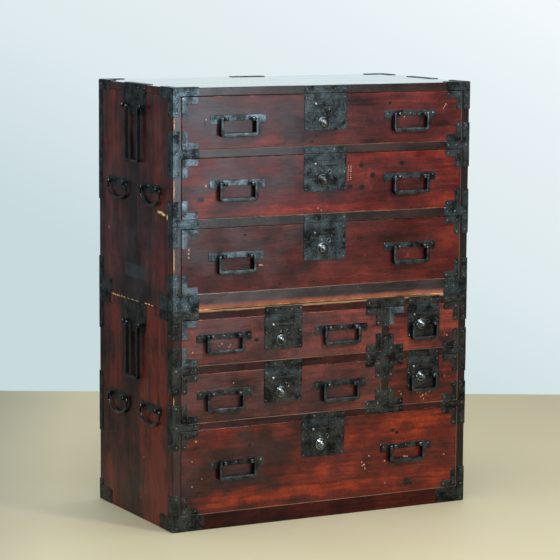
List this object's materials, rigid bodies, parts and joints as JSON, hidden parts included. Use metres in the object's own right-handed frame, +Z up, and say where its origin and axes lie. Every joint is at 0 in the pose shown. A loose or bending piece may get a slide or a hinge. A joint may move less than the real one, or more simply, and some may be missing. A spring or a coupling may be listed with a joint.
{
  "type": "clothing chest",
  "caption": "Tall wooden clothing chest in two stacked cases, with drawers, a lock plate and drop handles on each drawer, iron corner straps and carrying handles on the sides.",
  "frame": {"origin": "centre of the footprint, on the floor", "axes": "+X to the right along the front, +Y from the front to the back, +Z up"},
  "size_m": [0.8954, 0.4682, 1.1215],
  "materials": {
    "case_wood": "dark lacquered softwood, worn at the edges",
    "drawer_wood": "red-brown lacquer over wood, bare pale wood inside",
    "iron_fittings": "hammered blackened iron sheet",
    "forged_iron": "forged blackened iron, rubbed bright on the edges"
  },
  "bodies": {
    "lower_case": {"lower_sides": "case_wood", "lower_rails": "case_wood", "lower_boards": "case_wood", "lower_back": "case_wood", "lower_irons": "iron_fittings"},
    "upper_case": {"upper_sides": "case_wood", "upper_rails": "case_wood", "upper_boards": "case_wood", "upper_back": "case_wood", "upper_irons": "iron_fittings"},
    "drawer_upper_top": {"drawer_upper_top": "drawer_wood", "irons_upper_top": "iron_fittings"},
    "knob_upper_top": {"knob_upper_top": "forged_iron"},
    "bail_upper_top_left": {"bail_upper_top_left": "forged_iron"},
    "bail_upper_top_right": {"bail_upper_top_right": "forged_iron"},
    "drawer_upper_middle": {"drawer_upper_middle": "drawer_wood", "irons_upper_middle": "iron_fittings"},
    "knob_upper_middle": {"knob_upper_middle": "forged_iron"},
    "bail_upper_middle_left": {"bail_upper_middle_left": "forged_iron"},
    "bail_upper_middle_right": {"bail_upper_middle_right": "forged_iron"},
    "drawer_upper_bottom": {"drawer_upper_bottom": "drawer_wood", "irons_upper_bottom": "iron_fittings"},
    "knob_upper_bottom": {"knob_upper_bottom": "forged_iron"},
    "bail_upper_bottom_left": {"bail_upper_bottom_left": "forged_iron"},
    "bail_upper_bottom_right": {"bail_upper_bottom_right": "forged_iron"},
    "drawer_lower_left_top": {"drawer_lower_left_top": "drawer_wood", "irons_lower_left_top": "iron_fittings"},
    "knob_lower_left_top": {"knob_lower_left_top": "forged_iron"},
    "bail_lower_left_top_left": {"bail_lower_left_top_left": "forged_iron"},
    "bail_lower_left_top_right": {"bail_lower_left_top_right": "forged_iron"},
    "drawer_lower_left_bottom": {"drawer_lower_left_bottom": "drawer_wood", "irons_lower_left_bottom": "iron_fittings"},
    "knob_lower_left_bottom": {"knob_lower_left_bottom": "forged_iron"},
    "bail_lower_left_bottom_left": {"bail_lower_left_bottom_left": "forged_iron"},
    "bail_lower_left_bottom_right": {"bail_lower_left_bottom_right": "forged_iron"},
    "drawer_lower_right_top": {"drawer_lower_right_top": "drawer_wood", "irons_lower_right_top": "iron_fittings"},
    "knob_lower_right_top": {"knob_lower_right_top": "forged_iron"},
    "bail_lower_right_top": {"bail_lower_right_top": "forged_iron"},
    "drawer_lower_right_bottom": {"drawer_lower_right_bottom": "drawer_wood", "irons_lower_right_bottom": "iron_fittings"},
    "knob_lower_right_bottom": {"knob_lower_right_bottom": "forged_iron"},
    "bail_lower_right_bottom": {"bail_lower_right_bottom": "forged_iron"},
    "drawer_lower_base": {"drawer_lower_base": "drawer_wood", "irons_lower_base": "iron_fittings"},
    "knob_lower_base": {"knob_lower_base": "forged_iron"},
    "bail_lower_base_left": {"bail_lower_base_left": "forged_iron"},
    "bail_lower_base_right": {"bail_lower_base_right": "forged_iron"},
    "lower_long_handle_left": {"lower_long_handle_left": "forged_iron"},
    "lower_loop_left_front": {"lower_loop_left_front": "forged_iron"},
    "lower_loop_left_rear": {"lower_loop_left_rear": "forged_iron"},
    "lower_long_handle_right": {"lower_long_handle_right": "forged_iron"},
    "lower_loop_right_front": {"lower_loop_right_front": "forged_iron"},
    "lower_loop_right_rear": {"lower_loop_right_rear": "forged_iron"},
    "upper_long_handle_left": {"upper_long_handle_left": "forged_iron"},
    "upper_loop_left_front": {"upper_loop_left_front": "forged_iron"},
    "upper_loop_left_rear": {"upper_loop_left_rear": "forged_iron"},
    "upper_long_handle_right": {"upper_long_handle_right": "forged_iron"},
    "upper_loop_right_front": {"upper_loop_right_front": "forged_iron"},
    "upper_loop_right_rear": {"upper_loop_right_rear": "forged_iron"}
  },
  "joints": [
    {"name": "upper_case_lift", "type": "slide", "parent": "lower_case", "child": "upper_case", "axis": [0, 0, 1], "range_m": [0, 0.1]},
    {"name": "slide_upper_top", "type": "slide", "parent": "upper_case", "child": "drawer_upper_top", "axis": [0, -1, 0], "range_m": [0, 0.38]},
    {"name": "turn_upper_top", "type": "hinge", "parent": "drawer_upper_top", "child": "knob_upper_top", "pos_m": [-0.007, -0.224, 1.0234], "axis": [0, -1, 0], "range_deg": [0, 90]},
    {"name": "swing_upper_top_left", "type": "hinge", "parent": "drawer_upper_top", "child": "bail_upper_top_left", "pos_m": [-0.25, -0.2325, 1.0405], "axis": [-1, 0, 0], "range_deg": [0, 160]},
    {"name": "swing_upper_top_right", "type": "hinge", "parent": "drawer_upper_top", "child": "bail_upper_top_right", "pos_m": [0.25, -0.2325, 1.0405], "axis": [-1, 0, 0], "range_deg": [0, 160]},
    {"name": "slide_upper_middle", "type": "slide", "parent": "upper_case", "child": "drawer_upper_middle", "axis": [0, -1, 0], "range_m": [0, 0.38]},
    {"name": "turn_upper_middle", "type": "hinge", "parent": "drawer_upper_middle", "child": "knob_upper_middle", "pos_m": [-0.007, -0.224, 0.8779], "axis": [0, -1, 0], "range_deg": [0, 90]},
    {"name": "swing_upper_middle_left", "type": "hinge", "parent": "drawer_upper_middle", "child": "bail_upper_middle_left", "pos_m": [-0.252, -0.2325, 0.87825], "axis": [-1, 0, 0], "range_deg": [0, 160]},
    {"name": "swing_upper_middle_right", "type": "hinge", "parent": "drawer_upper_middle", "child": "bail_upper_middle_right", "pos_m": [0.252, -0.2325, 0.87825], "axis": [-1, 0, 0], "range_deg": [0, 160]},
    {"name": "slide_upper_bottom", "type": "slide", "parent": "upper_case", "child": "drawer_upper_bottom", "axis": [0, -1, 0], "range_m": [0, 0.38]},
    {"name": "turn_upper_bottom", "type": "hinge", "parent": "drawer_upper_bottom", "child": "knob_upper_bottom", "pos_m": [-0.007, -0.224, 0.7014], "axis": [0, -1, 0], "range_deg": [0, 90]},
    {"name": "swing_upper_bottom_left", "type": "hinge", "parent": "drawer_upper_bottom", "child": "bail_upper_bottom_left", "pos_m": [-0.254, -0.2325, 0.6955], "axis": [-1, 0, 0], "range_deg": [0, 160]},
    {"name": "swing_upper_bottom_right", "type": "hinge", "parent": "drawer_upper_bottom", "child": "bail_upper_bottom_right", "pos_m": [0.254, -0.2325, 0.6955], "axis": [-1, 0, 0], "range_deg": [0, 160]},
    {"name": "slide_lower_left_top", "type": "slide", "parent": "lower_case", "child": "drawer_lower_left_top", "axis": [0, -1, 0], "range_m": [0, 0.38]},
    {"name": "turn_lower_left_top", "type": "hinge", "parent": "drawer_lower_left_top", "child": "knob_lower_left_top", "pos_m": [-0.1245, -0.224, 0.4734], "axis": [0, -1, 0], "range_deg": [0, 90]},
    {"name": "swing_lower_left_top_left", "type": "hinge", "parent": "drawer_lower_left_top", "child": "bail_lower_left_top_left", "pos_m": [-0.2865, -0.2325, 0.495], "axis": [-1, 0, 0], "range_deg": [0, 160]},
    {"name": "swing_lower_left_top_right", "type": "hinge", "parent": "drawer_lower_left_top", "child": "bail_lower_left_top_right", "pos_m": [0.0515, -0.2325, 0.495], "axis": [-1, 0, 0], "range_deg": [0, 160]},
    {"name": "slide_lower_left_bottom", "type": "slide", "parent": "lower_case", "child": "drawer_lower_left_bottom", "axis": [0, -1, 0], "range_m": [0, 0.38]},
    {"name": "turn_lower_left_bottom", "type": "hinge", "parent": "drawer_lower_left_bottom", "child": "knob_lower_left_bottom", "pos_m": [-0.1245, -0.224, 0.3394], "axis": [0, -1, 0], "range_deg": [0, 90]},
    {"name": "swing_lower_left_bottom_left", "type": "hinge", "parent": "drawer_lower_left_bottom", "child": "bail_lower_left_bottom_left", "pos_m": [-0.2845, -0.2325, 0.3465], "axis": [-1, 0, 0], "range_deg": [0, 160]},
    {"name": "swing_lower_left_bottom_right", "type": "hinge", "parent": "drawer_lower_left_bottom", "child": "bail_lower_left_bottom_right", "pos_m": [0.0495, -0.2325, 0.3465], "axis": [-1, 0, 0], "range_deg": [0, 160]},
    {"name": "slide_lower_right_top", "type": "slide", "parent": "lower_case", "child": "drawer_lower_right_top", "axis": [0, -1, 0], "range_m": [0, 0.38]},
    {"name": "turn_lower_right_top", "type": "hinge", "parent": "drawer_lower_right_top", "child": "knob_lower_right_top", "pos_m": [0.293, -0.224, 0.4874], "axis": [0, -1, 0], "range_deg": [0, 90]},
    {"name": "swing_lower_right_top", "type": "hinge", "parent": "drawer_lower_right_top", "child": "bail_lower_right_top", "pos_m": [0.3, -0.2325, 0.4874], "axis": [-1, 0, 0], "range_deg": [0, 160]},
    {"name": "slide_lower_right_bottom", "type": "slide", "parent": "lower_case", "child": "drawer_lower_right_bottom", "axis": [0, -1, 0], "range_m": [0, 0.38]},
    {"name": "turn_lower_right_bottom", "type": "hinge", "parent": "drawer_lower_right_bottom", "child": "knob_lower_right_bottom", "pos_m": [0.293, -0.224, 0.3494], "axis": [0, -1, 0], "range_deg": [0, 90]},
    {"name": "swing_lower_right_bottom", "type": "hinge", "parent": "drawer_lower_right_bottom", "child": "bail_lower_right_bottom", "pos_m": [0.3, -0.2325, 0.3494], "axis": [-1, 0, 0], "range_deg": [0, 160]},
    {"name": "slide_lower_base", "type": "slide", "parent": "lower_case", "child": "drawer_lower_base", "axis": [0, -1, 0], "range_m": [0, 0.38]},
    {"name": "turn_lower_base", "type": "hinge", "parent": "drawer_lower_base", "child": "knob_lower_base", "pos_m": [-0.007, -0.224, 0.1924], "axis": [0, -1, 0], "range_deg": [0, 90]},
    {"name": "swing_lower_base_left", "type": "hinge", "parent": "drawer_lower_base", "child": "bail_lower_base_left", "pos_m": [-0.25, -0.2325, 0.1685], "axis": [-1, 0, 0], "range_deg": [0, 160]},
    {"name": "swing_lower_base_right", "type": "hinge", "parent": "drawer_lower_base", "child": "bail_lower_base_right", "pos_m": [0.25, -0.2325, 0.1685], "axis": [-1, 0, 0], "range_deg": [0, 160]},
    {"name": "swing_lower_long_handle_left", "type": "hinge", "parent": "lower_case", "child": "lower_long_handle_left", "pos_m": [-0.4385, 0, 0.506], "axis": [0, 1, 0], "range_deg": [0, 170]},
    {"name": "swing_lower_loop_left_front", "type": "hinge", "parent": "lower_case", "child": "lower_loop_left_front", "pos_m": [-0.436, -0.1, 0.3], "axis": [0, 1, 0], "range_deg": [0, 170]},
    {"name": "swing_lower_loop_left_rear", "type": "hinge", "parent": "lower_case", "child": "lower_loop_left_rear", "pos_m": [-0.436, 0.1, 0.3], "axis": [0, 1, 0], "range_deg": [0, 170]},
    {"name": "swing_lower_long_handle_right", "type": "hinge", "parent": "lower_case", "child": "lower_long_handle_right", "pos_m": [0.4385, 0, 0.506], "axis": [0, -1, 0], "range_deg": [0, 170]},
    {"name": "swing_lower_loop_right_front", "type": "hinge", "parent": "lower_case", "child": "lower_loop_right_front", "pos_m": [0.436, -0.1, 0.3], "axis": [0, -1, 0], "range_deg": [0, 170]},
    {"name": "swing_lower_loop_right_rear", "type": "hinge", "parent": "lower_case", "child": "lower_loop_right_rear", "pos_m": [0.436, 0.1, 0.3], "axis": [0, -1, 0], "range_deg": [0, 170]},
    {"name": "swing_upper_long_handle_left", "type": "hinge", "parent": "upper_case", "child": "upper_long_handle_left", "pos_m": [-0.4385, 0, 1.064], "axis": [0, 1, 0], "range_deg": [0, 170]},
    {"name": "swing_upper_loop_left_front", "type": "hinge", "parent": "upper_case", "child": "upper_loop_left_front", "pos_m": [-0.436, -0.1, 0.862], "axis": [0, 1, 0], "range_deg": [0, 170]},
    {"name": "swing_upper_loop_left_rear", "type": "hinge", "parent": "upper_case", "child": "upper_loop_left_rear", "pos_m": [-0.436, 0.1, 0.862], "axis": [0, 1, 0], "range_deg": [0, 170]},
    {"name": "swing_upper_long_handle_right", "type": "hinge", "parent": "upper_case", "child": "upper_long_handle_right", "pos_m": [0.4385, 0, 1.064], "axis": [0, -1, 0], "range_deg": [0, 170]},
    {"name": "swing_upper_loop_right_front", "type": "hinge", "parent": "upper_case", "child": "upper_loop_right_front", "pos_m": [0.436, -0.1, 0.862], "axis": [0, -1, 0], "range_deg": [0, 170]},
    {"name": "swing_upper_loop_right_rear", "type": "hinge", "parent": "upper_case", "child": "upper_loop_right_rear", "pos_m": [0.436, 0.1, 0.862], "axis": [0, -1, 0], "range_deg": [0, 170]}
  ]
}
